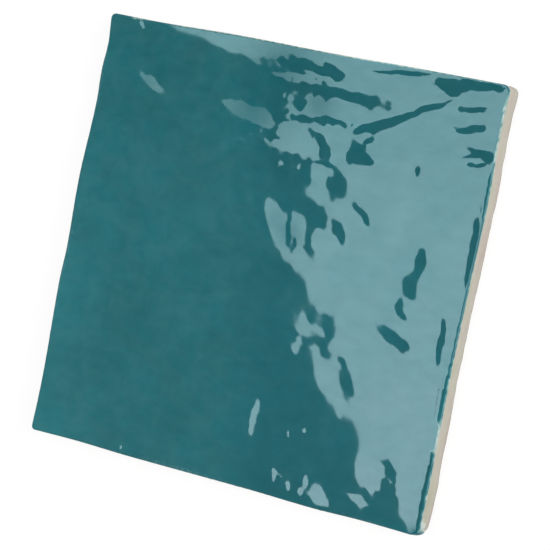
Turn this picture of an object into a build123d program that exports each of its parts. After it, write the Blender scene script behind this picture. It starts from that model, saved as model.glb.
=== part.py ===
"""Square glazed wall tile with a hand-pressed look: one pressed and fired ceramic piece.

The tile lies on its back, with its glazed face up. The origin is the middle of the back,
+X runs to the right of the face, +Y up the face as it hangs on a wall, and +Z out of the glaze.
Sizes are in millimetres.
"""

import os
from math import ceil, cos, exp, pi, radians, sin

from build123d import *

# Format
tile_width = 132.0
tile_height = 132.0
tile_thickness = 8.3  # from the back to the mean level of the glaze

# Corners seen from the front: the wet clay slumps a little differently at each
corner_radius_upper_left = 1.6
corner_radius_upper_right = 2.1
corner_radius_lower_left = 1.2
corner_radius_lower_right = 2.6

# Arrises
glaze_arris_radius = 0.7  # the glaze flows over a softened edge
back_arris_chamfer = 0.5

# Broad waves of the glazed face: three swells cross it, each with a height, a length, a heading
# in degrees from +X, and the place along that heading where it rises through its mean level
long_wave_height = 0.12
long_wave_length = 120.0
long_wave_heading = 118.0
long_wave_start = 15.0
middle_wave_height = 0.04
middle_wave_length = 58.0
middle_wave_heading = 85.0
middle_wave_start = 38.0
short_wave_height = 0.025
short_wave_length = 29.0
short_wave_heading = -7.0
short_wave_start = 20.0

# The broadest mark of the hand: clay pushed up the face, out of a hollow and into a crest
press_height = 0.27
press_x = 5.0
press_y = 36.0
press_reach_across = 18.0
press_reach_up = 12.0  # from its middle to the crest, and to the hollow

# Keying on the back, which the adhesive grips: a lattice of ribs round shallow pockets
key_columns = 8
key_rows = 8
key_border = 7.5
key_rib_width = 3.0
key_depth = 0.8
key_draft = 20.0

# Wander of each side from straight, as the clay was pressed: the place along the side as a
# share of half its length, and how far the side stands out there
left_wander = (
    (-0.76, -0.20),
    (-0.27, 0.40),
    (-0.12, 0.0),
    (0.20, 0.45),
    (0.58, -0.45),
    (0.73, -0.10),
    (0.86, -0.60),
)
right_wander = ((-0.80, 0.20), (-0.54, -0.10), (-0.25, -0.30), (0.10, -0.15), (0.45, 0.20), (0.86, -0.40))
upper_wander = ((-0.74, -0.20), (-0.34, 0.20), (0.22, -0.15), (0.55, 0.10))
lower_wander = ((-0.76, -0.20), (-0.44, 0.10), (0.15, 0.0), (0.48, 0.25), (0.74, -0.10))

half_width = tile_width / 2
half_height = tile_height / 2


def swell(x, y, height, length, heading, start):
    """Height of one train of waves at a point of the face."""
    along = x * cos(radians(heading)) + y * sin(radians(heading))
    return height * sin(2 * pi * (along - start) / length)


def press(x, y):
    """Height of the hand's mark at a point of the face."""
    across = (x - press_x) / press_reach_across
    up = (y - press_y) / press_reach_up
    return press_height * up * exp((1 - across**2 - up**2) / 2)


def face_height(x, y):
    """Height of the glaze above the back, where the three swells cross the hand's mark."""
    return (
        tile_thickness
        + swell(x, y, long_wave_height, long_wave_length, long_wave_heading, long_wave_start)
        + swell(x, y, middle_wave_height, middle_wave_length, middle_wave_heading, middle_wave_start)
        + swell(x, y, short_wave_height, short_wave_length, short_wave_heading, short_wave_start)
        + press(x, y)
    )


def stations(half_length):
    """Evenly spaced places along the face, close enough for its shortest wave, past both ends."""
    spacing = short_wave_length / 5
    steps = ceil(half_length / spacing) + 1
    return [i * spacing for i in range(-steps, steps + 1)]


# The glazed face, drawn a little past the outline so that it cuts the whole block
glazed_face = Face.make_surface_from_array_of_points(
    [[(x, y, face_height(x, y)) for y in stations(half_height)] for x in stations(half_width)],
    tol=0.002,
    min_deg=3,
)
wave_reach = long_wave_height + middle_wave_height + short_wave_height + press_height

# One fired piece
with BuildPart() as tile:
    # The pressed block, with sides that wander from straight
    with BuildSketch():
        with BuildLine():
            Spline(
                (-half_width, -half_height),
                *[(-half_width - out, place * half_height) for place, out in left_wander],
                (-half_width, half_height),
            )
            Spline(
                (-half_width, half_height),
                *[(place * half_width, half_height + out) for place, out in upper_wander],
                (half_width, half_height),
            )
            Spline(
                (half_width, -half_height),
                *[(half_width + out, place * half_height) for place, out in right_wander],
                (half_width, half_height),
            )
            Spline(
                (-half_width, -half_height),
                *[(place * half_width, -half_height - out) for place, out in lower_wander],
                (half_width, -half_height),
            )
        make_face()
    extrude(amount=tile_thickness + 2 * wave_reach)

    # Slumped corners
    for x, y, radius in (
        (-half_width, half_height, corner_radius_upper_left),
        (half_width, half_height, corner_radius_upper_right),
        (-half_width, -half_height, corner_radius_lower_left),
        (half_width, -half_height, corner_radius_lower_right),
    ):
        corner = tile.edges().filter_by(Axis.Z).sort_by_distance((x, y, 0))[0]
        fillet(corner, radius=radius)

    # The waves of the face, and the arris that the glaze flows over
    split(bisect_by=glazed_face, keep=Keep.BOTTOM)
    fillet(tile.faces().sort_by(Axis.Z)[-1].edges(), radius=glaze_arris_radius)
    chamfer(tile.faces().sort_by(Axis.Z)[0].edges(), length=back_arris_chamfer)

    # Keying pockets pressed into the back
    column_pitch = (tile_width - 2 * key_border + key_rib_width) / key_columns
    row_pitch = (tile_height - 2 * key_border + key_rib_width) / key_rows
    with BuildSketch(Plane.XY):
        with GridLocations(column_pitch, row_pitch, key_columns, key_rows):
            Rectangle(column_pitch - key_rib_width, row_pitch - key_rib_width)
    extrude(amount=key_depth, taper=key_draft, mode=Mode.SUBTRACT)

tile.part.label = "tile"

os.makedirs("parts", exist_ok=True)
export_step(tile.part, "parts/tile.step")
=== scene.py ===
"""Looks of a square wall tile: a glossy teal glaze over a hand-pressed face, on a bare fired body.

The frame is the part's own: the origin in the middle of the back, +X to the right of the face,
+Y up the face and +Z out of the glaze. Sizes are in millimetres until the mesh is made.
"""

import math

import bpy
import numpy as np
from mathutils import Matrix, Vector


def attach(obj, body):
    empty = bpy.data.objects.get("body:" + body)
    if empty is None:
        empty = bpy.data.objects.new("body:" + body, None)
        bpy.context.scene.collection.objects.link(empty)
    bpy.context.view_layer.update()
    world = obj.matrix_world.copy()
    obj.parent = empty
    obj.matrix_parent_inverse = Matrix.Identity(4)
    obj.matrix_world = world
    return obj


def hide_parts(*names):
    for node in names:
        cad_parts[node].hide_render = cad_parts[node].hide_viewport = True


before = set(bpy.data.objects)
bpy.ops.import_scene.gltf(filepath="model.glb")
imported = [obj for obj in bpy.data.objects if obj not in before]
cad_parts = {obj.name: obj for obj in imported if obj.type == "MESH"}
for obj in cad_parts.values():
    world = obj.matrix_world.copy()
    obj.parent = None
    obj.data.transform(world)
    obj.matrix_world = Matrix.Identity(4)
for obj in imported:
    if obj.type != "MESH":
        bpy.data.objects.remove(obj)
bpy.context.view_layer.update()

MM = 0.001  # metres in a millimetre

# Format, corners and wander of the sides, as in the part: each side's wander is the place along it
# as a share of half its length, and how far the side stands out there
SIDE = 132.0
HALF = SIDE / 2
THICKNESS = 8.3
CORNER_RADII = {"lower_left": 1.2, "lower_right": 2.6, "upper_right": 2.1, "upper_left": 1.6}
WANDER = {
    "left": (
        (-0.76, -0.20),
        (-0.27, 0.40),
        (-0.12, 0.0),
        (0.20, 0.45),
        (0.58, -0.45),
        (0.73, -0.10),
        (0.86, -0.60),
    ),
    "right": ((-0.80, 0.20), (-0.54, -0.10), (-0.25, -0.30), (0.10, -0.15), (0.45, 0.20), (0.86, -0.40)),
    "upper": ((-0.74, -0.20), (-0.34, 0.20), (0.22, -0.15), (0.55, 0.10)),
    "lower": ((-0.76, -0.20), (-0.44, 0.10), (0.15, 0.0), (0.48, 0.25), (0.74, -0.10)),
}

# Broad waves of the face, as in the part: height, length, heading and start of each swell, and
# the height, middle and reach of the hand's broadest mark
SWELLS = ((0.12, 120.0, 118.0, 15.0), (0.04, 58.0, 85.0, 38.0), (0.025, 29.0, -7.0, 20.0))
PRESS_HEIGHT = 0.27
PRESS_MIDDLE = (5.0, 36.0)
PRESS_REACH = (18.0, 12.0)

# Smaller marks of the hand, each a little slope in the clay: x, y, length, width, heading of its
# length in degrees, and tilt in degrees. A tilt above zero leans the face back from the softbox,
# so that the mark shows dark in the bright reflection. One below zero leans it towards the
# softbox, so that the mark shows pale in the dark, and a steep one misses the softbox either way
# and shows dark.
LEAN = math.radians(33.0)  # the heading that the tilts are counted along
HAND_MARKS = (
    # broad leans, which set the edge of the bright reflection
    (-38, 66.5, 10, 5, -57, -0.8),
    (-30, 64.5, 10, 6, -57, -0.9),
    (-27, 65, 10, 5, -57, -0.6),
    (-24, 6, 14, 8, -57, 0.7),
    (-24, 64.5, 44, 5, 1, -2.1),
    (-23, 62.5, 10, 5, -57, -0.9),
    (-22, 28, 12, 7, -57, 0.6),
    (-19, 6, 12, 7, -57, 0.7),
    (-19, 17, 26, 9, -57, 0.8),
    (-18, 34, 12, 6, -57, 0.8),
    (-16, 27, 12, 8, -57, 0.6),
    (-16, 33, 20, 7, 0, 1.8),
    (-15, 17, 10, 6, -57, 0.5),
    (-13, 35.5, 9, 5, -57, 0.9),
    (-12, 8, 14, 8, -57, 0.6),
    (-12, 13, 28, 8, 0, 1.2),
    (-11, 35.5, 16, 6, -57, 1.1),
    (-10, 19, 16, 6, -57, 0.7),
    (-9, 16, 12, 6, -57, 0.9),
    (-8, 6, 14, 6, -57, 0.5),
    (-8, 21, 44, 11, 0, 2.2),
    (-7.5, 40.3, 6, 5, -57, 2.4),
    (-6, 23, 8, 5, -57, 0.5),
    (-4, 12, 14, 6, -57, 1.4),
    (0, -4, 12, 6, -57, 0.5),
    (2, 25.5, 11, 5, -57, 1.8),
    (2, 28.5, 7, 5, -57, 0.8),
    (3, 24, 20, 7, -10, 3.2),
    (4, 2, 18, 5, -20, 1.2),
    (4, 56, 56, 12, 4, 5.8),
    (6, 50, 8, 6, -57, 1.5),
    (6.5, 32.5, 14, 7, -57, 2.4),
    (7, 26, 9, 5, -57, 1.0),
    (18, 54.2, 28, 5, -3, 6.5),
    (19, 30, 11, 5, 102, 3.5),
    (20.5, -5, 13, 5, -57, -1.0),
    (26, -48, 12, 6, -57, 0.5),
    (37, -42.5, 12, 6, -50, 1.6),
    (38, -32, 30, 10, -57, -0.5),
    (46, -52, 10, 5, -65, -2.0),
    (48, 4, 8, 5, 80, 5.0),
    (49.5, -63, 14, 5, 0, 2.6),
    (49.5, 62.8, 6, 5, -57, 6.5),
    # long strokes drawn across the face
    (-48.5, 47.8, 14, 3.6, -22, -3),
    (-14, 44.3, 18, 2.2, -8, -2.0),
    (-11, 38.5, 12, 3, 0, 1.6),
    (-8, 48.5, 12, 3, 0, 1.4),
    (-7, 39.2, 9, 2.2, -2, 4),
    (-4, 59.3, 16, 2.2, 3, -2.2),
    (-2, 56.4, 8, 1.6, 2, -3.4),
    (-1, 43.8, 7, 1.4, 18, 6.5),
    (0.5, 38.4, 8, 1, 5, 5),
    (2, 49.3, 20, 4, 0, 4.2),
    (3, 37.2, 16, 2, 0, -3.0),
    (4, 21, 14, 3.6, -8, 3),
    (4, 41, 14, 3, -10, -2.0),
    (6.3, 14, 6, 1.6, -70, 2.4),
    (7, 57.3, 22, 1, 2, -5.0),
    (8, 41.4, 9, 2.2, -30, 5),
    (8, 60.5, 24, 3, 2, 4.0),
    (8.3, -44.8, 10, 2.4, 88, -4.0),
    (9, 45.4, 28, 3, 2, 5.5),
    (9.5, 57.2, 8, 1.6, 0, -3),
    (13.5, 15, 14, 3.4, 100, 2.2),
    (13.5, 29, 9, 2.4, 95, -2.0),
    (14, 33.6, 8, 1.2, 5, 6),
    (15.5, 46, 10, 2.8, 2, 5.5),
    (29.5, 21, 7, 1.6, -38, 4.5),
    (37.5, -63, 6, 1.6, 10, -4),
    (44.3, -60, 8, 2.2, 0, -4),
    (47, -12, 11, 2.6, -20, 5.0),
    (61, -9, 13, 2, 92, 6.5),
    (64.7, 17.5, 27, 2.8, 91, 7.5),
    # steep strokes, which miss the softbox
    (23.4, 46, 10, 3.4, 12, -11),
    (27.2, 42.7, 5, 2, 16, -8.5),
    (29, 63.4, 22, 1.2, 7, -13.0),
    (30.5, 48.6, 12, 3.6, 22, -8),
    (38, 64.5, 14, 1.4, 5, -12),
    (39, 53.6, 14, 3.2, 28, -8.0),
    (45, 56.2, 5, 0.9, 10, -6),
    (51, 43.7, 20, 1, 8, -13),
    (56.5, 51.5, 10, 2.2, 12, -11),
    (57, 57.7, 13, 2.4, 12, 15.0),
    (58, 64.3, 14, 2.4, 3, 11),
    (59.6, 42.1, 12, 1.9, 11, -12),
    (60, 45, 12, 2.2, 13, 13),
    # small dents in the upper part of the face
    (-15.5, 35.2, 6, 4, -57, 0.9),
    (-12, 47.2, 5, 3, -57, 0.8),
    (-11.5, 37.8, 3, 2, -57, 0.8),
    (-11, 37.5, 8, 4, -57, 1),
    (-11, 38, 5, 4, -57, 1.2),
    (-7, 39.3, 10, 4, -10, 1.8),
    (-7, 46.8, 5, 3.4, -57, 1.2),
    (-6.6, 40, 2.8, 2.6, -57, 1.3),
    (-6.4, 46.2, 3, 2.4, -57, 1.2),
    (-6, 36, 8, 4, -57, 0.8),
    (-4.5, 40.8, 4, 2.2, -57, 3.4),
    (-4.5, 46.3, 3, 2, -57, 1.2),
    (-4, 44, 4, 2.6, -57, 1.6),
    (-3.8, 41.6, 4, 3, -57, 1.6),
    (-3.6, 42, 4, 2.4, -57, 4.2),
    (-3, 47.5, 7, 3, -57, 1.6),
    (-2, 42.4, 3, 1.8, -57, 3.4),
    (-1.5, 43.6, 4, 3, -57, 2.4),
    (0, 45.2, 5, 3, -57, 2.2),
    (1.4, 45, 3, 2, -57, 2.6),
    (1.5, 44.4, 4, 2.6, -57, 1.8),
    (1.8, 49, 4, 3, -57, 1.8),
    (3.5, 47.6, 4, 2.6, -57, 1.7),
    (4, 45.6, 4, 2.6, -57, 1.4),
    (4, 51.5, 4, 2.4, -57, 1.2),
    (4, 62.3, 5, 2.6, -57, 1),
    (6, 34, 4, 3.4, -57, 1.6),
    (8.6, 42, 3, 2, -57, 1.2),
    (8.8, 61, 3, 2, -57, 1.8),
    (9.5, 61.4, 4, 3, -57, 1.6),
    (10.5, 51.3, 4, 2, -57, 2),
    (11, 40.8, 3, 2.2, -57, 2),
    (11, 45.2, 4, 2.2, -57, 2.4),
    (12, 53, 6, 3, -57, 1.8),
    (12.5, 60.8, 6, 2.4, -57, 2.6),
    (13, 34, 4, 3, -57, 2.4),
    (13, 39, 9, 2.8, -45, 5.0),
    (13.2, 37.2, 3.4, 2.2, -57, 2),
    (13.5, 46.1, 5, 2.4, -57, 2.4),
    (14, 36, 6, 2.2, -65, 4),
    (15.4, 54.2, 3, 2.6, -57, 1.5),
    (16.5, 46.5, 4, 2.4, -57, 4),
    (18, 53, 6, 3, -57, 2.4),
    (18.6, 45.9, 1.6, 1.2, -57, 2.2),
    (20.6, 54.2, 4, 2.6, -57, 1.6),
    (20.8, 37, 2.4, 1.6, -57, 2.6),
    (22.5, 37.6, 4, 4, -57, 4.2),
    (25, 36.1, 2.4, 2, -57, 1.5),
    (27.5, 37, 2.6, 3, -57, 3.2),
    (29.4, 37.2, 1.2, 1.6, -57, 2.8),
    (40, 65.2, 5, 2.4, -57, 5),
    (43.5, 37, 3.5, 1.8, 90, 5.0),
    (43.5, 64.8, 5, 3, -57, 6.5),
    (46.5, 63.4, 4, 3, -57, 5.5),
    (47.6, 58.8, 6, 3, 33, 4),
    (47.6, 61.4, 2, 1.4, -57, 3.4),
    (49.6, 61.2, 5, 4, -57, 4.5),
    (49.8, 53.2, 5, 4, -57, 1.8),
    (53.6, 56.4, 3, 2, -57, 3.5),
    (54, 63.2, 4, 3, -57, 5),
    (54, 65, 5, 4, -57, 4),
    (58, 64.2, 5, 3.4, -57, 6),
    (62.5, 65, 5, 3.4, -57, 6.5),
    (63.4, 43.9, 4.8, 3, -57, 6.5),
    # small dents in its middle part
    (-4.5, 18, 9, 4, -57, 1.5),
    (-2.5, 17, 7, 3, -57, 1.4),
    (-1.5, 12, 10, 3, -50, 1),
    (-1, 20.5, 11, 4, 0, 2.0),
    (-1, 27, 6, 4, -57, 0.8),
    (2, 33.4, 4, 3, -57, 1.2),
    (2.2, 28.8, 4, 3.4, -57, 1.5),
    (3, 8, 8, 3, -50, 0.8),
    (3.2, 19, 4, 3, -57, 1.5),
    (6.5, 27, 8, 4, -57, 2),
    (6.5, 31.3, 3, 2.4, -57, 1),
    (8.2, 9.3, 6, 2.6, -70, 2.2),
    (9, 30.5, 8, 4, -57, 2.4),
    (10, 29.5, 6, 3, -57, 1.7),
    (10.5, 33.8, 5, 4, -57, 3.2),
    (16, 18, 5, 3, -40, 2.6),
    (16, 28.5, 6, 3, -57, 2.2),
    (23, 15, 6, 2.4, -50, 3.0),
    (46, -3, 4, 2, 100, 5.0),
    (48.5, -5, 4, 1.2, -25, 5.0),
    (50, 11.5, 7, 2.8, 90, 6.0),
    # small dents in its lower part
    (26, -19.5, 4, 2.4, 90, 1.8),
    (26.3, -13.5, 5, 2.4, 95, 2.0),
    (27.5, -34.5, 8, 4, -40, 0.9),
    (32.5, -22, 3, 1.2, -50, 2.0),
    (35, -28, 7, 2.8, -60, 2.6),
    (50.5, -59.5, 6, 4, -57, 1.2),
    (53, -48.5, 4, 1.3, -20, 3.0),
    (54, -56, 10, 4, -65, 2.4),
    (54.5, -50.5, 5, 3, -70, 1.6),
    (57, -57, 6, 4, -57, 1.4),
    (60, -65.3, 6, 4, -57, 1.1),
    # small glints in the upper part
    (-54.6, 64.2, 1.6, 1, -57, -5.5),
    (-43, 66.5, 6, 4, -57, -0.8),
    (-16, 61.5, 9, 4.5, -57, -0.7),
    (-9, 62, 8, 4, -57, -0.6),
    (-2.8, 51, 0.9, 0.7, -57, -3),
    (-0.6, 50.7, 0.9, 0.7, -57, -3),
    (0.5, 47, 1.6, 1.2, -57, -3.4),
    (5.6, 51.5, 2, 1, -20, -4),
    (7.5, 48.6, 2, 1, 20, -3),
    (18, 39.5, 10, 4, 100, -2.0),
    (20.4, 45.5, 2.2, 2, -57, -4.6),
    (26.6, 51.4, 2.2, 2, -57, -1.4),
    (27.7, 52.7, 4.5, 3, -57, -1.9),
    (29.3, 45.2, 2.2, 1.6, -57, -1.4),
    (30.8, 53.4, 4, 3, -57, -0.5),
    (50.4, 58.9, 2, 1.5, -57, -3),
    (54.6, 46.5, 3.6, 2.8, -57, -2),
    # small glints in the middle part
    (0.3, 31, 1.2, 1, -57, -2.4),
    (6, 31.3, 0.9, 0.8, -57, -3),
    (15.8, 12, 5, 2, -70, -1.4),
    # small glints in the lower part
    (-33.6, -64, 1.6, 1.4, -57, -6.5),
    (15, -47, 1.4, 0.9, -57, -3.0),
    (16.5, -21, 4, 2.5, -57, -2.4),
    (17.5, -16, 6, 2.5, -75, -1.8),
    (18, -61, 5, 1.3, 75, -4.5),
    (19, -14, 9, 3, -5, -1.5),
    (20.3, -46.5, 2, 0.8, -50, -3.0),
    (20.5, -59.3, 4, 1.2, 0, -4.5),
    (22.5, -61.8, 2.5, 1, -60, -4.5),
    (25, -44.5, 1.6, 1.2, -57, -2.4),
    (25.3, -62, 3, 1.2, 20, -4.0),
    (26, -26, 8, 4, -70, -0.8),
    (27.6, -60.6, 4.5, 1.3, 75, -4.0),
    (32.8, -62, 7, 3.6, -35, -3.4),
    (35, -36.5, 6, 3, -57, -0.9),
)
MARK_SPREAD = 0.65  # how far a mark's slope reaches to each side, as a share of its width
MARK_FADE_ALONG = 0.42  # how soon it eases out along its length, as a share of that
MARK_FADE_ACROSS = 3.0  # and across it, in times its spread

# Random ripples, here and below: their height, their size from crest to crest, and the seed that
# they are drawn with
RIPPLE_TRAINS = 18  # trains of waves that add up to the ripples
RIPPLE_SIZES = (0.7, 1.5)  # shortest and longest of them, in times the ripples' size
RAGGED_X = (0.26, 4.0, 60)  # how a narrow mark's edge strays to the side, and up the face
RAGGED_Y = (0.26, 4.0, 61)
RAGGED_WIDTH = 3.2  # marks wider than this have smooth edges
RAGGED_TILT = 5.0  # steeper marks have cleaner edges
SKIN_RIPPLES = ((0.0032, 11.0, 100), (0.0010, 4.5, 101))  # all over the face

# Patches where the clay stayed rough: x, y, reach and the ripples there
ROUGH_PATCHES = (
    (19, -18, 4, (0.002, 2.4, 0)),
    (22, -60, 7, (0.003, 2.4, 1)),
    (53, -53, 5, (0.003, 2.6, 2)),
)

# Spots where the glaze is duller, so that its glints are dim: x, y, reach and how dull
DULL_SPOTS = (
    (-50, 48, 8, 0.48),
    (-18, 45, 7, 0.45),
    (-9, 44, 6, 0.38),
    (-10, 58, 6, 0.22),
    (-3, 59.5, 7, 0.36),
    (9, 50.3, 3.5, 0.4),
    (7.5, 11, 3, 0.34),
    (2, 15, 3, 0.2),
    (65.2, -65.3, 1.4, 1.0),
)

# The roll of the glaze over the edge
RIM = 3.0  # width of the band round the face where the glaze turns down
RIM_STEPS = (0.75, 0.5, 0.25)  # loops of the mesh across it, as shares of the way from the roll
ROLL_STEPS = 10  # loops of the mesh over the roll
ARRIS_DROP = 0.7  # how far the glaze drops as it rolls over the edge
SHOULDER = 0.4  # least width of that roll, and how much wider it is at places along each side
SHOULDERS = {
    "right": (
        (-0.95, 1.7),
        (-0.76, 2.4),
        (-0.65, 1.6),
        (-0.61, -0.1),
        (-0.52, -0.1),
        (-0.48, 1.7),
        (-0.40, 2.1),
        (-0.32, 1.2),
        (-0.25, 0.6),
        (-0.05, 0.5),
        (0.08, 0.5),
        (0.15, 0.1),
        (0.38, 0.1),
        (0.46, 0.9),
        (0.60, 1.1),
        (0.66, -0.1),
        (0.88, -0.1),
        (0.91, 0.6),
        (0.94, 0.0),
    ),
    "upper": ((-0.90, 0.4), (-0.80, -0.2), (0.50, -0.2), (0.62, 0.0), (0.94, 0.0)),
    "left": ((-0.80, 0.9), (-0.45, 0.4), (0.0, 1.0), (0.40, 0.5), (0.80, 0.9)),
    "lower": ((-0.85, 0.5), (-0.40, 0.9), (0.05, 0.4), (0.50, 0.8), (0.85, 0.6)),
}
SHOULDER_STRAY = (0.22, 3.5, 48)  # how the roll's inner edge strays where it is wide
BEADS = (0.03, 1.7, 40)  # beads of glaze along the edge
BEADED = (1.0, 9.0, 41)  # stretches of the edge that have them

# Stretches where the edge is pale all the way in, partly with thin glaze and partly with a painted
# highlight: place along the side, and how far it is
LIGHT_EDGES = {
    "right": (
        (-0.66, 0.0),
        (-0.61, 1.0),
        (-0.52, 1.0),
        (-0.47, 0.1),
        (0.60, 0.1),
        (0.69, 1.0),
        (0.93, 1.0),
    ),
    "upper": (
        (-0.93, 0.1),
        (-0.86, 0.9),
        (-0.72, 0.4),
        (-0.62, 1.0),
        (0.50, 1.0),
        (0.66, 0.6),
        (0.95, 0.6),
    ),
    "left": ((-0.80, 0.1), (-0.30, 0.4), (0.30, 0.1), (0.75, 0.4)),
    "lower": ((-0.70, 0.1), (-0.20, 0.4), (0.30, 0.1), (0.80, 0.3)),
}
THIN_EDGE = 0.34  # share of its depth that the glaze loses as it rolls over the edge, so that the roll pales, partly as thin glaze and partly as a painted highlight along the arris
THIN_LIGHT = 0.16  # and how much more it loses where the edge is pale all the way in
THIN_UNEVEN = (0.10, 1.8, 47)  # how unevenly it does
THIN_START = math.radians(42.0)  # turn of the roll where it starts to thin and pale, where the edge isn't pale all the way in
THIN_SPAN = math.radians(32.0)
THIN_AND_HIGHLIT_LINE = 0.35  # width of the pale line along a pale edge, partly thin glaze and partly a painted highlight
POOLED = 0.3  # how much deeper the glaze lies where it starts to roll over

# The end of the glaze on the sides, and its run at the lower right corner
GLAZE_END = 0.95  # how far down the side the glaze reaches
GLAZE_END_WANDER = ((0.08, 9.0, 42), (0.03, 2.6, 43))  # how its end wanders up and down
GLAZE_STEP = 0.06  # how far the glaze stands proud of the bare body
BARE_START = 0.05  # how far below the glaze's end the body is bare
DRIP_DEPTH = 6.0  # how far the glaze runs down
DRIP_REACH = 0.9
DRIP_BULGE = 0.7  # how far the thick run stands proud of the side
DRIP_LOWEST = 0.8  # how far above the back it stops
THICK_DRIP = (65.3, -65.1)  # where the run is thick, and where it is thin
THIN_DRIP = (66.0, -63.0)
THIN_DRIP_SHARE = 0.7  # how far the thin one runs down, as a share of the thick one
# The coat below the roll: share of the way to its end, share of the bulge of a thick run there,
# the depth of the coat, and how much a thin and a thick run add to that
COAT_END = (
    (0.12, 0.5, 0.55, -0.15, 0.35),
    (0.4, 1.0, 0.5, -0.15, 0.42),
    (0.7, 0.9, 0.42, -0.1, 0.5),
    (0.85, 0.6, 0.25, 0.0, 0.6),
    (1.0, 0.1, 0.0, 0.0, 0.0),
)

# The bare sides and their nibbled back edge
BACK_CHAMFER = 0.5
CHAMFER_RANGE = (0.15, 1.0)
NIBBLES = ((0.20, 16.0, 44), (0.07, 5.0, 45))
SIDE_STEPS = (0.8, 0.6, 0.4, 0.2, 0.0)  # loops of the mesh down the side, as shares of its height
SIDE_DENTS = (0.05, 8.0, 46)
SIDE_DENT_RANGE = (-0.05, 0.3)

# Keying on the back, as in the part
KEY_COUNT = 8
KEY_BORDER = 7.5
KEY_RIB = 3.0
KEY_DEPTH = 0.8
KEY_DRAFT = math.radians(20.0)

FACE_CELLS = 252  # cells along each side of the face's grid, half a millimetre each
SHARP_ANGLE = math.radians(40.0)  # edges that turn by more than this show as sharp

# Glaze colours, and the line that the glaze deepens past in the middle of the face: left of it the
# lighter colour is partly the glaze's own and partly a painted reflection. The line leans as y grows,
# its edge wanders by a wave, and it deepens from its start to its end
GLAZE_DEEP = "#1a6770"
# a lighter glaze colour, left of the line: partly the glaze's own and partly a painted reflection
GLAZE_WITH_PAINTED_REFLECTION = "#227078"
GLAZE_EDGE = "#2a7b83"
GLAZE_MILK = "#8fb0b0"
REFLECTION_EDGE_LEAN = 0.15
REFLECTION_EDGE_WAVE = 16.0
REFLECTION_EDGE_START = -6.0
REFLECTION_EDGE_END = 16.0
LEFT_EDGE = (-66.0, -40.0)  # where the glaze lightens towards the left edge

# Sizes of the patterns in the glaze: its pools, its clouds, the streaks that it ran and dried in,
# long and narrow, and the wisps of its milky veil
POOL_SIZE = 30.0
CLOUD_SIZE = 14.0
STREAK_SIZE = (5.0, 2.4, 5.0)
WISP_SIZE = 6.0

# What changes the glaze's tone and its shine: two values of the pattern, and the factor at each
CLOUD_TONE = (0.35, 0.65, 0.92, 1.06)
STREAK_TONE = (0.3, 0.7, 0.95, 1.05)
TOP_TONE = (10 * MM, 55 * MM, 1.0, 0.90)
POOLED_TONE = (1.0, 1.3, 1.0, 0.7)
STREAK_SHINE = (0.3, 0.7, 0.94, 1.06)
CLOUD_SHINE = (0.35, 0.65, 1.06, 0.94)
DULL_SHINE = (0.0, 1.0, 1.0, 0.0)

# The milky veil and the blur of the skin, likewise: two values of the pattern, and what each gives
MILK_VEIL = (0.38, 0.68, 0.0, 0.05)
VEIL_PAST_REFLECTION = 0.45  # share of the veil that is left past the edge of the painted reflection, where the glaze is deep
SKIN_BLUR = (0.3, 0.7, 0.03, 0.06)

# The coat where it thins down the sides and over the roll of the edge, by its depth, and the depths
# where its own colour comes in; over the roll its paleness is partly a painted highlight
THIN_COAT = ((0.0, "#cdc8bb"), (0.38, "#bccac3"), (0.62, "#7fa9a3"), (0.85, "#4d8a90"))
FULL_COAT = (0.6, 0.95)

# Tint and strength of the mirror-like skin, at the bottom and at the top of the face
SKIN_TINTS = ("#d8f5fd", "#cbf8ff")
SKIN_SHINE = (0.58, 0.46)

# The bare body: its stains, which are longer along the sides than up them, its specks of grog and
# its grain
BISCUIT_STAINS = ((0.3, "#bfb4aa"), (0.5, "#c2beb0"), (0.7, "#b3b39c"))
BISCUIT_SPECK = "#938a78"
STAIN_SIZE = (15.0, 15.0, 6.0)
SPECK_SIZE = 0.9
SPECK_START = (0.70, 0.78)  # values of their pattern where the specks come in
GRAIN_SIZE = 0.5
GRAIN_HEIGHT = 0.1

# The floor: half its width, and how far below the back it lies
FLOOR_REACH = 6000.0
FLOOR_GAP = 0.05
FLOOR_SEEP = 1.5  # how far from the back the floor lets its light through
FLOOR_PAINT = "#f4f4f4"
FLOOR_GLOW = 1.08  # a glow that keeps it white to the eye, and its share of what is seen
FLOOR_GLOW_SHARE = 0.8
WHITE = "#ffffff"

# Studio lamps: how high the main one hangs, its reach along the lean and across it from the middle
# of the face, where the fill stands, half its width, and how bright they are
LAMP_HEIGHT = 1200.0 + THICKNESS
KEY_ALONG = (-476.5, -83.0)
KEY_ACROSS = (-120.0, 620.0)
KEY_RADIANCE = 5.4
FILL_PLACE = (900.0, 250.0, 650.0)
FILL_HALF = 450.0
FILL_RADIANCE = 3.3
ROOM_RADIANCE = 0.28

# The camera: its place, its right and its down in the tile's frame, and its focal length and the
# width of its picture in pixels
CAMERA_PLACE = (271.2, 41.8, 592.0 + THICKNESS)
CAMERA_RIGHT = (0.8891, 0.1968, -0.4133)
CAMERA_DOWN = (0.2067, -0.9782, -0.0209)
FOCAL_PIXELS = 2189.5
PICTURE_PIXELS = 550
SENSOR_WIDTH = 36.0


def ripples(x, y, height, size, seed):
    """Smooth random ripples about this high, with crests about this size apart."""
    draw = np.random.default_rng(seed)
    total = 0.0
    for _ in range(RIPPLE_TRAINS):
        heading, phase = draw.uniform(0, 2 * math.pi, 2)
        length = size * draw.uniform(*RIPPLE_SIZES)
        along = x * np.cos(heading) + y * np.sin(heading)
        total = total + np.sin(along * 2 * math.pi / length + phase)
    return height * total / math.sqrt(RIPPLE_TRAINS / 2)


def nearness(x, y, middle_x, middle_y, reach):
    """How near a point is to the middle of a round spot: 1 there, easing out to 0."""
    return np.exp(-((x - middle_x) ** 2 + (y - middle_y) ** 2) / (2 * reach**2))


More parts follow.
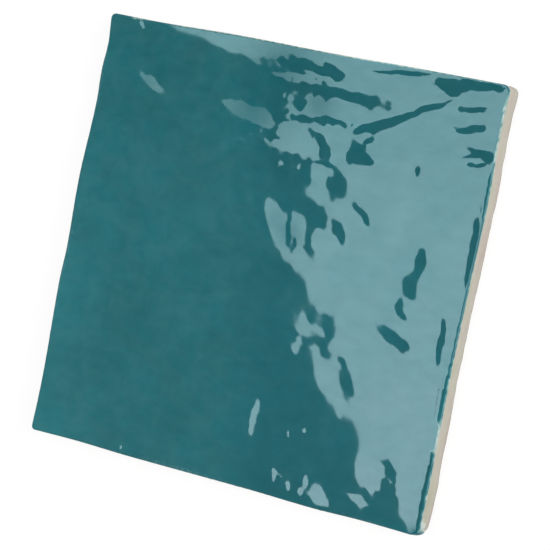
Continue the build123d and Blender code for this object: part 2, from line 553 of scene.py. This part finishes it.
def swell(x, y, height, length, heading, start):
    """Height of one train of broad waves."""
    along = x * math.cos(math.radians(heading)) + y * math.sin(math.radians(heading))
    return height * np.sin(2 * math.pi * (along - start) / length)


def press(x, y):
    """Height of the hand's broadest mark."""
    across = (x - PRESS_MIDDLE[0]) / PRESS_REACH[0]
    up = (y - PRESS_MIDDLE[1]) / PRESS_REACH[1]
    return PRESS_HEIGHT * up * np.exp((1 - across**2 - up**2) / 2)


def hand_mark(x, y, ragged, middle_x, middle_y, length, width, heading, tilt):
    """Height of one small mark: a slope across its width, which eases out round about and has a
    ragged edge."""
    turn = math.radians(heading)
    stray = math.exp(-((width / RAGGED_WIDTH) ** 4)) * min(1, RAGGED_TILT / abs(tilt))
    x = x + stray * ragged[0] - middle_x
    y = y + stray * ragged[1] - middle_y
    along = x * math.cos(turn) + y * math.sin(turn)
    across = y * math.cos(turn) - x * math.sin(turn)
    if math.sin(LEAN - turn) < 0:  # whichever end the length is counted from, the tilt is the same
        across = -across
    spread = MARK_SPREAD * width
    off_along, off_across = along / (MARK_FADE_ALONG * length), across / (MARK_FADE_ACROSS * spread)
    fade = np.exp(-(off_along**2 + off_across**2) / 2)
    return math.tan(math.radians(tilt)) * spread * np.tanh(across / spread) * fade


def face_height(x, y):
    """Height of the glaze above the back."""
    height = THICKNESS + press(x, y)
    for train in SWELLS:
        height = height + swell(x, y, *train)
    ragged = ripples(x, y, *RAGGED_X), ripples(x, y, *RAGGED_Y)
    for mark in HAND_MARKS:
        height = height + hand_mark(x, y, ragged, *mark)
    for middle_x, middle_y, reach, rough in ROUGH_PATCHES:
        height = height + nearness(x, y, middle_x, middle_y, reach) * ripples(x, y, *rough)
    for fine in SKIN_RIPPLES:
        height = height + ripples(x, y, *fine)
    return height


def dullness(x, y):
    """How dull the glaze is at a point of the face, 0 for the plain gloss."""
    total = sum(share * nearness(x, y, *spot) for *spot, share in DULL_SPOTS)
    return np.clip(total, 0, 1)


def along_side(points, place):
    """What a side measures at each place along it, easing from point to point."""
    knots = np.array([(-1.0, 0.0), *points, (1.0, 0.0)])
    index = np.clip(np.searchsorted(knots[:, 0], place) - 1, 0, len(knots) - 2)
    start, end = knots[index], knots[index + 1]
    share = np.clip((place - start[:, 0]) / (end[:, 0] - start[:, 0]), 0, 1)
    share = share * share * (3 - 2 * share)
    return start[:, 1] + (end[:, 1] - start[:, 1]) * share


def outline():
    """Points round the tile from the lower left corner, against the clock: on its outline, and
    on the square where the rim begins, with the width of the roll over the edge at each and how
    far it is pale all the way in, partly with thin glaze and partly with a painted highlight."""
    sides = (
        # heading of the side, way out of it, its name, and the corners it starts and ends at
        ((1, 0), (0, -1), "lower", "lower_left", "lower_right"),
        ((0, 1), (1, 0), "right", "lower_right", "upper_right"),
        ((-1, 0), (0, 1), "upper", "upper_right", "upper_left"),
        ((0, -1), (-1, 0), "left", "upper_left", "lower_left"),
    )
    place = np.linspace(-1, 1, FACE_CELLS, endpoint=False)
    outer, inner, shoulder, light = [], [], [], []
    for heading, out, name, first, last in sides:
        heading, out = np.array(heading, float), np.array(out, float)
        radius = np.where(place < 0, CORNER_RADII[first], CORNER_RADII[last])
        to_corner = HALF * (1 - np.abs(place))
        turn = math.pi / 4 * np.clip(1 - to_corner / radius, 0, 1)
        rounded = to_corner < radius
        along = np.where(rounded, HALF - radius + radius * np.sin(turn), HALF * np.abs(place))
        measured = place * heading.sum()  # from left to right, or from low to high
        away = HALF - radius + radius * np.cos(turn) + along_side(WANDER[name], measured)
        outer.append(np.outer(np.sign(place) * along, heading) + np.outer(away, out))
        inner.append(np.outer(place * (HALF - RIM), heading) + (HALF - RIM) * out)
        shoulder.append(SHOULDER + along_side(SHOULDERS[name], measured))
        light.append(along_side(LIGHT_EDGES[name], measured))
    return [np.concatenate(each) for each in (outer, inner, shoulder, light)]


def rim_loops(outer, inner, shoulder, light):
    """Loops of points from the edge of the face's grid over the arris and down to the back, each
    with how deep the glaze lies on it, 1 on the face and 0 where it has ended, less over the roll,
    where the paleness is partly a painted highlight, and whether the stretch that leads to it is bare."""
    reach = np.linalg.norm(inner - outer, axis=1)
    inward = (inner - outer) / reach[:, None]
    x, y = outer[:, 0], outer[:, 1]
    loops = []

    def all_round(value):
        return np.broadcast_to(value, reach.shape)

    def inside(inset):
        return outer + inward * all_round(inset)[:, None]

    def add(inset, height, glaze, bare=False):
        loops.append((np.column_stack([inside(inset), all_round(height)]), all_round(glaze), bare))

    def level(inset):
        return face_height(*inside(inset).T)

    # The face's last stretch, pale at its end where the edge is pale all the way in, partly with thin
    # glaze and partly with a painted highlight
    shoulder = shoulder + np.clip(shoulder - SHOULDER, 0, 1) * ripples(x, y, *SHOULDER_STRAY)
    thin_glaze_and_highlight = THIN_EDGE + THIN_LIGHT * light + ripples(x, y, *THIN_UNEVEN)
    for share in RIM_STEPS:
        inset = shoulder + (reach - shoulder) * share
        add(inset, level(inset), 1.0)
    add(shoulder + THIN_AND_HIGHLIT_LINE, level(shoulder + THIN_AND_HIGHLIT_LINE), 1.0)
    add(shoulder, level(shoulder), 1 - thin_glaze_and_highlight * light)

    # The roll over the edge, beaded in places, where the glaze thins and pales, partly as a painted
    # highlight along the arris
    beads = ripples(x, y, *BEADS) * np.clip(ripples(x, y, *BEADED), 0, 1)
    for step in range(1, ROLL_STEPS + 1):
        turn = math.pi / 2 * step / ROLL_STEPS
        inset = shoulder * (1 - math.sin(turn)) - beads * math.sin(turn)
        roll_thinning_and_highlight = thin_glaze_and_highlight * np.clip((turn - THIN_START) / THIN_SPAN, light, 1)
        pooled = POOLED * (1 - light) * math.sin(2 * turn) * (roll_thinning_and_highlight == 0)
        height = level(np.maximum(inset, 0)) - ARRIS_DROP * (1 - math.cos(turn))
        add(inset, height, 1 - roll_thinning_and_highlight + pooled)

    # The glaze's end, which wanders up and down the side and runs down at one corner
    edge = level(0.0)
    arris = edge - ARRIS_DROP
    thin_drip, thick_drip = (nearness(x, y, *spot, DRIP_REACH) for spot in (THIN_DRIP, THICK_DRIP))
    end = edge - GLAZE_END - sum(ripples(x, y, *wander) for wander in GLAZE_END_WANDER)
    end = end - DRIP_DEPTH * np.maximum(THIN_DRIP_SHARE * thin_drip, thick_drip)
    end = np.maximum(end, DRIP_LOWEST)
    for share, bulge, depth, thin_more, thick_more in COAT_END:
        height = arris + (end - arris) * share
        glaze = depth + thin_more * thin_drip + thick_more * thick_drip
        add(-DRIP_BULGE * bulge * thick_drip, height, glaze)
    bare_top = end - BARE_START
    add(GLAZE_STEP, bare_top, 0.0, True)

    # The bare side, a little uneven where the clay was cut, and its nibbled back edge
    chamfer = BACK_CHAMFER + sum(ripples(x, y, *nibbles) for nibbles in NIBBLES)
    chamfer = np.clip(chamfer, *CHAMFER_RANGE)
    for share in SIDE_STEPS:
        height = chamfer + (bare_top - chamfer) * share
        dents = np.clip(ripples(x + height, y - height, *SIDE_DENTS), *SIDE_DENT_RANGE)
        add(GLAZE_STEP + dents, height, 0.0, True)
    add(GLAZE_STEP + chamfer, 0.0, 0.0, True)
    return loops


def round_the_edge(index):
    """Numbers of the points round the edge of a grid, from its lower left, against the clock."""
    return np.concatenate([index[0, :-1], index[:-1, -1], index[-1, :0:-1], index[:0:-1, 0]])


def keyed_back(first):
    """The ribs, pocket walls and pocket floors of the back: their points, which are numbered from
    the first, their faces, and the numbers of the points round the keying's edge."""
    span = SIDE - 2 * KEY_BORDER
    pitch = (span + KEY_RIB) / KEY_COUNT
    starts = -span / 2 + pitch * np.arange(KEY_COUNT)
    lines = np.sort(np.concatenate([starts, starts + pitch - KEY_RIB]))
    x, y = np.meshgrid(lines, lines)
    lattice = first + np.arange(x.size).reshape(x.shape)
    points = [(a, b, 0.0) for a, b in zip(x.ravel(), y.ravel())]
    faces = []
    shrink = KEY_DEPTH * math.tan(KEY_DRAFT)
    for row in range(len(lines) - 1):
        for column in range(len(lines) - 1):
            steps = ((0, 0), (1, 0), (1, 1), (0, 1))
            corners = [lattice[row + up, column + along] for up, along in steps]
            if row % 2 or column % 2:
                faces.append(corners)
                continue
            across = lines[column] + shrink, lines[column + 1] - shrink
            upward = lines[row] + shrink, lines[row + 1] - shrink
            floor = [first + len(points) + i for i in range(4)]
            points += [(across[along], upward[up], KEY_DEPTH) for up, along in steps]
            faces.append(floor)
            for i in range(4):
                j = (i + 1) % 4
                faces.append([corners[i], corners[j], floor[j], floor[i]])
    return points, faces, round_the_edge(lattice)


def plain_band(back_edge, key_edge):
    """Triangles of the plain band between the edge of the back and the keying."""
    outer, inner = len(back_edge), len(key_edge)
    band = []
    i = j = 0
    while i < outer or j < inner:
        start = back_edge[i % outer], key_edge[j % inner]
        if (i + 1) / outer <= (j + 1) / inner:
            i += 1
            band.append((*start, back_edge[i % outer]))
        else:
            j += 1
            band.append((*start, key_edge[j % inner]))
    return band


def tile_mesh():
    """The whole fired tile as one closed mesh, with its glaze and its bare body."""
    # The face's grid
    ticks = np.linspace(-(HALF - RIM), HALF - RIM, FACE_CELLS + 1)
    x, y = np.meshgrid(ticks, ticks)
    points = [np.column_stack([x.ravel(), y.ravel(), face_height(x, y).ravel()])]
    glaze = [np.ones(x.size)]
    index = np.arange(x.size).reshape(x.shape)
    cells = np.stack([index[:-1, :-1], index[:-1, 1:], index[1:, 1:], index[1:, :-1]], -1)
    faces = cells.reshape(-1, 4).tolist()
    bare = [0] * len(faces)

    # The rim, the sides and the chamfer round the back
    edge, count = round_the_edge(index), x.size
    for loop, depth, leads_bare in rim_loops(*outline()):
        ring = count + np.arange(len(loop))
        faces += np.stack([edge, ring, np.roll(ring, -1), np.roll(edge, -1)], -1).tolist()
        bare += [int(leads_bare)] * len(loop)
        points.append(loop)
        glaze.append(depth)
        edge, count = ring, count + len(loop)

    # The back
    key_points, key_faces, key_edge = keyed_back(count)
    points.append(np.array(key_points))
    glaze.append(np.zeros(len(key_points)))
    back = key_faces + plain_band(edge, key_edge)
    faces += [[int(point) for point in face] for face in back]
    bare += [1] * len(back)

    points, glaze = np.concatenate(points), np.concatenate(glaze)
    mesh = bpy.data.meshes.new("fired_tile")
    mesh.from_pydata((points * MM).tolist(), [], faces)
    mesh.update()
    mesh.polygons.foreach_set("material_index", np.array(bare, np.int32))
    mesh.polygons.foreach_set("use_smooth", np.ones(len(faces), bool))
    dull = dullness(points[:, 0], points[:, 1])
    for name, values in (("glaze_depth_and_highlight", glaze), ("glaze_dullness", dull)):
        attribute = mesh.attributes.new(name, "FLOAT", "POINT")
        attribute.data.foreach_set("value", values.astype(np.float32))
    mesh.set_sharp_from_angle(angle=SHARP_ANGLE)
    return mesh


def linear(hex_colour):
    """A linear colour from an sRGB hex value."""
    channels = [int(hex_colour[i : i + 2], 16) / 255 for i in (1, 3, 5)]
    return tuple(c / 12.92 if c <= 0.04045 else ((c + 0.055) / 1.055) ** 2.4 for c in channels) + (1.0,)


def add_node(tree, kind, inputs=None, stops=(), **settings):
    """Adds a node with its settings, its sockets set to values or linked from other sockets, and
    the stops of its colour ramp, from low to high."""
    node = tree.nodes.new(kind)
    for name, value in settings.items():
        setattr(node, name, value)
    for name, value in (inputs or {}).items():
        if isinstance(value, bpy.types.NodeSocket):
            tree.links.new(value, node.inputs[name])
        else:
            node.inputs[name].default_value = value
    for i, (place, colour) in enumerate(stops):
        ramp = node.color_ramp.elements
        stop = ramp[i] if i < len(ramp) else ramp.new(place)
        stop.position, stop.color = place, linear(colour)
    return node


def per_metre(size):
    """A pattern's scale from the size of its features in millimetres."""
    return 1 / (size * MM)


def new_material(name):
    """An empty node material and its tree."""
    material = bpy.data.materials.new(name)
    material.use_nodes = True
    material.node_tree.nodes.clear()
    return material, material.node_tree


def fired_teal_glaze():
    """Glossy glaze fired on in a thick coat: it gives the eye a deep teal with soft uneven pools, a
    little lighter towards the left, partly as a painted reflection, pale over the roll of the edge,
    partly as a painted highlight, whitish where the coat thins to nothing on the sides, and a
    mirror-like skin."""
    material, tree = new_material("fired_teal_glaze")
    spot = add_node(tree, "ShaderNodeTexCoord").outputs["Object"]
    place = add_node(tree, "ShaderNodeSeparateXYZ", {0: spot})
    # How deep the coat lies: 1 on the face, more where it pools along the edge, and less over the
    # roll, whose paleness is partly a painted highlight
    depth = add_node(tree, "ShaderNodeAttribute", attribute_name="glaze_depth_and_highlight").outputs["Fac"]
    dull = add_node(tree, "ShaderNodeAttribute", attribute_name="glaze_dullness").outputs["Fac"]

    # Pools of the glaze, clouds in it, and streaks a few millimetres long that it ran and dried in
    pools = add_node(
        tree,
        "ShaderNodeTexNoise",
        {"Vector": spot, "Scale": per_metre(POOL_SIZE), "Detail": 4.0, "Roughness": 0.5},
    ).outputs["Fac"]
    clouds = add_node(
        tree,
        "ShaderNodeTexNoise",
        {"Vector": spot, "Scale": per_metre(CLOUD_SIZE), "Detail": 3.0, "Roughness": 0.55},
    ).outputs["Fac"]
    stretched = add_node(
        tree, "ShaderNodeMapping", {"Vector": spot, "Scale": [per_metre(size) for size in STREAK_SIZE]}
    )
    streaks = add_node(
        tree,
        "ShaderNodeTexNoise",
        {"Vector": stretched.outputs[0], "Scale": 1.0, "Detail": 3.0, "Roughness": 0.6},
    ).outputs["Fac"]

    # The glaze deepens past a line in the middle of the face; left of it, its lighter colour is partly a
    # painted reflection, and it lightens again towards the left edge
    wavy = place.outputs["X"]
    for value, factor in ((place.outputs["Y"], REFLECTION_EDGE_LEAN), (pools, REFLECTION_EDGE_WAVE * MM)):
        wavy = add_node(
            tree, "ShaderNodeMath", {0: value, 1: factor, 2: wavy}, operation="MULTIPLY_ADD"
        ).outputs[0]
    past_painted_reflection = add_node(
        tree,
        "ShaderNodeMapRange",
        {"Value": wavy, "From Min": REFLECTION_EDGE_START * MM, "From Max": REFLECTION_EDGE_END * MM},
        interpolation_type="SMOOTHSTEP",
    ).outputs[0]
    left_start, left_end = (at * MM for at in LEFT_EDGE)
    left = add_node(
        tree,
        "ShaderNodeMapRange",
        {"Value": wavy, "From Min": left_start, "From Max": left_end, "To Min": 1.0, "To Max": 0.0},
    ).outputs[0]
    # the lighter colour that these mixes start from is partly a painted reflection
    body = linear(GLAZE_WITH_PAINTED_REFLECTION)
    for share, colour in ((past_painted_reflection, GLAZE_DEEP), (left, GLAZE_EDGE)):
        body = add_node(
            tree, "ShaderNodeMix", {0: share, 6: body, 7: linear(colour)}, data_type="RGBA"
        ).outputs[2]

    # Darker and lighter with the clouds and streaks, and deeper towards the top and where it pools
    for value, (low, high, at_low, at_high) in (
        (clouds, CLOUD_TONE),
        (streaks, STREAK_TONE),
        (place.outputs["Y"], TOP_TONE),
        (depth, POOLED_TONE),
    ):
        tone = add_node(
            tree,
            "ShaderNodeMapRange",
            {"Value": value, "From Min": low, "From Max": high, "To Min": at_low, "To Max": at_high},
        )
        body = add_node(
            tree,
            "ShaderNodeMix",
            {0: 1.0, 6: body, 7: tone.outputs[0]},
            data_type="RGBA",
            blend_type="MULTIPLY",
        ).outputs[2]

    # A milky veil in thin wisps, fainter where the glaze deepens, past the painted reflection
    wisps = add_node(
        tree,
        "ShaderNodeTexNoise",
        {
            "Vector": spot,
            "Scale": per_metre(WISP_SIZE),
            "Detail": 5.0,
            "Roughness": 0.6,
            "Distortion": 0.6,
        },
    ).outputs["Fac"]
    low, high, at_low, at_high = MILK_VEIL
    veil = add_node(
        tree,
        "ShaderNodeMapRange",
        {"Value": wisps, "From Min": low, "From Max": high, "To Min": at_low, "To Max": at_high},
    ).outputs[0]
    left_over = add_node(
        tree, "ShaderNodeMapRange", {"Value": past_painted_reflection, "To Min": 1.0, "To Max": VEIL_PAST_REFLECTION}
    ).outputs[0]
    veil = add_node(tree, "ShaderNodeMath", {0: veil, 1: left_over}, operation="MULTIPLY").outputs[0]
    body = add_node(
        tree, "ShaderNodeMix", {0: veil, 6: body, 7: linear(GLAZE_MILK)}, data_type="RGBA"
    ).outputs[2]

    # The coat thins down the sides, and over the roll of the edge, where its paleness is partly a
    # painted highlight
    thin = add_node(tree, "ShaderNodeValToRGB", {"Fac": depth}, stops=THIN_COAT).outputs["Color"]
    full = add_node(
        tree,
        "ShaderNodeMapRange",
        {"Value": depth, "From Min": FULL_COAT[0], "From Max": FULL_COAT[1]},
    ).outputs[0]
    colour = add_node(tree, "ShaderNodeMix", {0: full, 6: thin, 7: body}, data_type="RGBA").outputs[2]

    # The skin mirrors a little less and bluer towards the top, and unevenly
    up = add_node(
        tree,
        "ShaderNodeMapRange",
        {"Value": place.outputs["Y"], "From Min": -HALF * MM, "From Max": HALF * MM},
    ).outputs[0]
    low_tint, high_tint = (linear(tint) for tint in SKIN_TINTS)
    tint = add_node(
        tree, "ShaderNodeMix", {0: up, 6: low_tint, 7: high_tint}, data_type="RGBA"
    ).outputs[2]
    shine = add_node(
        tree, "ShaderNodeMapRange", {"Value": up, "To Min": SKIN_SHINE[0], "To Max": SKIN_SHINE[1]}
    ).outputs[0]
    for value, (low, high, at_low, at_high) in (
        (streaks, STREAK_SHINE),
        (clouds, CLOUD_SHINE),
        (dull, DULL_SHINE),
    ):
        haze = add_node(
            tree,
            "ShaderNodeMapRange",
            {"Value": value, "From Min": low, "From Max": high, "To Min": at_low, "To Max": at_high},
        ).outputs[0]
        shine = add_node(tree, "ShaderNodeMath", {0: shine, 1: haze}, operation="MULTIPLY").outputs[0]
    low, high, at_low, at_high = SKIN_BLUR
    blur = add_node(
        tree,
        "ShaderNodeMapRange",
        {"Value": pools, "From Min": low, "From Max": high, "To Min": at_low, "To Max": at_high},
    ).outputs[0]
    shader = add_node(
        tree,
        "ShaderNodeBsdfPrincipled",
        {
            "Base Color": colour,
            "Roughness": blur,
            "IOR": 1.52,
            "Specular IOR Level": shine,
            "Specular Tint": tint,
        },
    )
    add_node(tree, "ShaderNodeOutputMaterial", {"Surface": shader.outputs[0]})
    return material


def fired_biscuit():
    """Unglazed fired clay: it gives the eye a dull warm beige with a fine grain, soft pink and
    olive stains that run along the sides, and a few dark specks of grog."""
    material, tree = new_material("fired_biscuit")
    spot = add_node(tree, "ShaderNodeTexCoord").outputs["Object"]
    layered = add_node(
        tree, "ShaderNodeMapping", {"Vector": spot, "Scale": [per_metre(size) for size in STAIN_SIZE]}
    )
    stains = add_node(
        tree,
        "ShaderNodeTexNoise",
        {"Vector": layered.outputs[0], "Scale": 1.0, "Detail": 2.0, "Roughness": 0.5},
    )
    body = add_node(tree, "ShaderNodeValToRGB", {"Fac": stains.outputs["Fac"]}, stops=BISCUIT_STAINS)
    specks = add_node(
        tree,
        "ShaderNodeTexNoise",
        {"Vector": spot, "Scale": per_metre(SPECK_SIZE), "Detail": 2.0, "Roughness": 0.5},
    )
    low, high = SPECK_START
    speck = add_node(
        tree, "ShaderNodeMapRange", {"Value": specks.outputs["Fac"], "From Min": low, "From Max": high}
    )
    colour = add_node(
        tree,
        "ShaderNodeMix",
        {0: speck.outputs[0], 6: body.outputs["Color"], 7: linear(BISCUIT_SPECK)},
        data_type="RGBA",
    )
    grain = add_node(
        tree,
        "ShaderNodeTexNoise",
        {"Vector": spot, "Scale": per_metre(GRAIN_SIZE), "Detail": 3.0, "Roughness": 0.6},
    )
    bump = add_node(
        tree,
        "ShaderNodeBump",
        {"Height": grain.outputs["Fac"], "Distance": GRAIN_HEIGHT * MM, "Strength": 0.6},
    )
    shader = add_node(
        tree,
        "ShaderNodeBsdfPrincipled",
        {"Base Color": colour.outputs[2], "Roughness": 0.9, "IOR": 1.5, "Normal": bump.outputs[0]},
    )
    add_node(tree, "ShaderNodeOutputMaterial", {"Surface": shader.outputs[0]})
    return material


def pale_floor():
    """A plain white floor that keeps a soft shadow. It is clear from below, and lets light through
    right under the tile, so that the back shows."""
    material, tree = new_material("pale_floor")
    ray = add_node(tree, "ShaderNodeLightPath").outputs

    # White to the eye and in mirrors, and plain diffuse to the light
    seen = ray["Is Camera Ray"]
    for kind in ("Is Glossy Ray", "Is Transmission Ray"):
        seen = add_node(tree, "ShaderNodeMath", {0: seen, 1: ray[kind]}, operation="MAXIMUM").outputs[0]
    share = add_node(tree, "ShaderNodeMath", {0: seen, 1: FLOOR_GLOW_SHARE}, operation="MULTIPLY")
    diffuse = add_node(tree, "ShaderNodeBsdfDiffuse", {"Color": linear(FLOOR_PAINT)})
    glow = add_node(tree, "ShaderNodeEmission", {"Color": linear(WHITE), "Strength": FLOOR_GLOW})
    white = add_node(
        tree, "ShaderNodeMixShader", {0: share.outputs[0], 1: diffuse.outputs[0], 2: glow.outputs[0]}
    )

    # Clear from below, and to light that leaves the back close by
    under = add_node(tree, "ShaderNodeNewGeometry").outputs["Backfacing"]
    close = add_node(
        tree, "ShaderNodeMath", {0: ray["Ray Length"], 1: FLOOR_SEEP * MM}, operation="LESS_THAN"
    ).outputs[0]
    seeping = add_node(
        tree, "ShaderNodeMath", {0: close, 1: ray["Is Diffuse Ray"]}, operation="MULTIPLY"
    ).outputs[0]
    through = add_node(tree, "ShaderNodeMath", {0: seeping, 1: under}, operation="MAXIMUM")
    clear = add_node(tree, "ShaderNodeBsdfTransparent")
    floor = add_node(
        tree, "ShaderNodeMixShader", {0: through.outputs[0], 1: white.outputs[0], 2: clear.outputs[0]}
    )
    add_node(tree, "ShaderNodeOutputMaterial", {"Surface": floor.outputs[0]})
    return material


def stage_floor():
    """The floor that the tile lies on."""
    reach, level = FLOOR_REACH * MM, -FLOOR_GAP * MM
    corners = [(x * reach, y * reach, level) for x, y in ((-1, -1), (1, -1), (1, 1), (-1, 1))]
    mesh = bpy.data.meshes.new("floor")
    mesh.from_pydata(corners, [], [(0, 1, 2, 3)])
    mesh.materials.append(pale_floor())
    floor = bpy.data.objects.new("floor", mesh)
    bpy.context.scene.collection.objects.link(floor)


def softbox(name, middle, across, along, radiance):
    """A rectangular studio lamp: middle and two half edges in millimetres, and its brightness."""
    lamp = bpy.data.lights.new(name, "AREA")
    lamp.shape = "RECTANGLE"
    lamp.size, lamp.size_y = 2 * across.length * MM, 2 * along.length * MM
    lamp.energy = radiance * math.pi * lamp.size * lamp.size_y
    piece = bpy.data.objects.new(name, lamp)
    facing = across.cross(along).normalized()
    turn = Matrix((across.normalized(), along.normalized(), facing)).transposed()
    piece.matrix_world = Matrix.Translation(middle * MM) @ turn.to_4x4()
    bpy.context.scene.collection.objects.link(piece)


def studio_light():
    """One softbox that hangs level above the face and shows in the glaze, a low fill from the
    right, and a dim room that is white to the camera."""
    along = Vector((math.cos(LEAN), math.sin(LEAN), 0))
    across = Vector((-along.y, along.x, 0))
    (near, far), (low, high) = KEY_ALONG, KEY_ACROSS
    middle = along * (near + far) / 2 + across * (low + high) / 2 + Vector((0, 0, LAMP_HEIGHT))
    softbox("key_softbox", middle, along * (far - near) / 2, across * (high - low) / 2, KEY_RADIANCE)

    fill = Vector(FILL_PLACE)
    back = fill.normalized()
    across = Vector((0, 0, 1)).cross(back).normalized()
    softbox("fill_softbox", fill, across * FILL_HALF, back.cross(across) * FILL_HALF, FILL_RADIANCE)

    world = bpy.data.worlds.new("room")
    bpy.context.scene.world = world
    world.use_nodes = True
    tree = world.node_tree
    tree.nodes.clear()
    ray = add_node(tree, "ShaderNodeLightPath")
    room, backdrop = (
        add_node(tree, "ShaderNodeBackground", {"Color": linear(WHITE), "Strength": strength})
        for strength in (ROOM_RADIANCE, 1.0)
    )
    mixed = add_node(
        tree,
        "ShaderNodeMixShader",
        {0: ray.outputs["Is Camera Ray"], 1: room.outputs[0], 2: backdrop.outputs[0]},
    )
    add_node(tree, "ShaderNodeOutputWorld", {"Surface": mixed.outputs[0]})


def photo_camera():
    """The camera at the photograph's distance and angle to the face, a little rolled."""
    right, down = Vector(CAMERA_RIGHT), Vector(CAMERA_DOWN)
    back = right.cross(-down)
    data = bpy.data.cameras.new("camera")
    data.sensor_width = SENSOR_WIDTH
    data.lens = FOCAL_PIXELS / PICTURE_PIXELS * data.sensor_width
    camera = bpy.data.objects.new("camera", data)
    turn = Matrix((right.normalized(), -down.normalized(), back.normalized())).transposed()
    camera.matrix_world = Matrix.Translation(Vector(CAMERA_PLACE) * MM) @ turn.to_4x4()
    bpy.context.scene.collection.objects.link(camera)
    bpy.context.scene.camera = camera


tile = bpy.data.objects.new("fired_tile", tile_mesh())
bpy.context.scene.collection.objects.link(tile)
tile.data.materials.append(fired_teal_glaze())
tile.data.materials.append(fired_biscuit())
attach(tile, "root")
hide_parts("tile")

stage_floor()
studio_light()
photo_camera()
bpy.context.scene.view_settings.view_transform = "Standard"
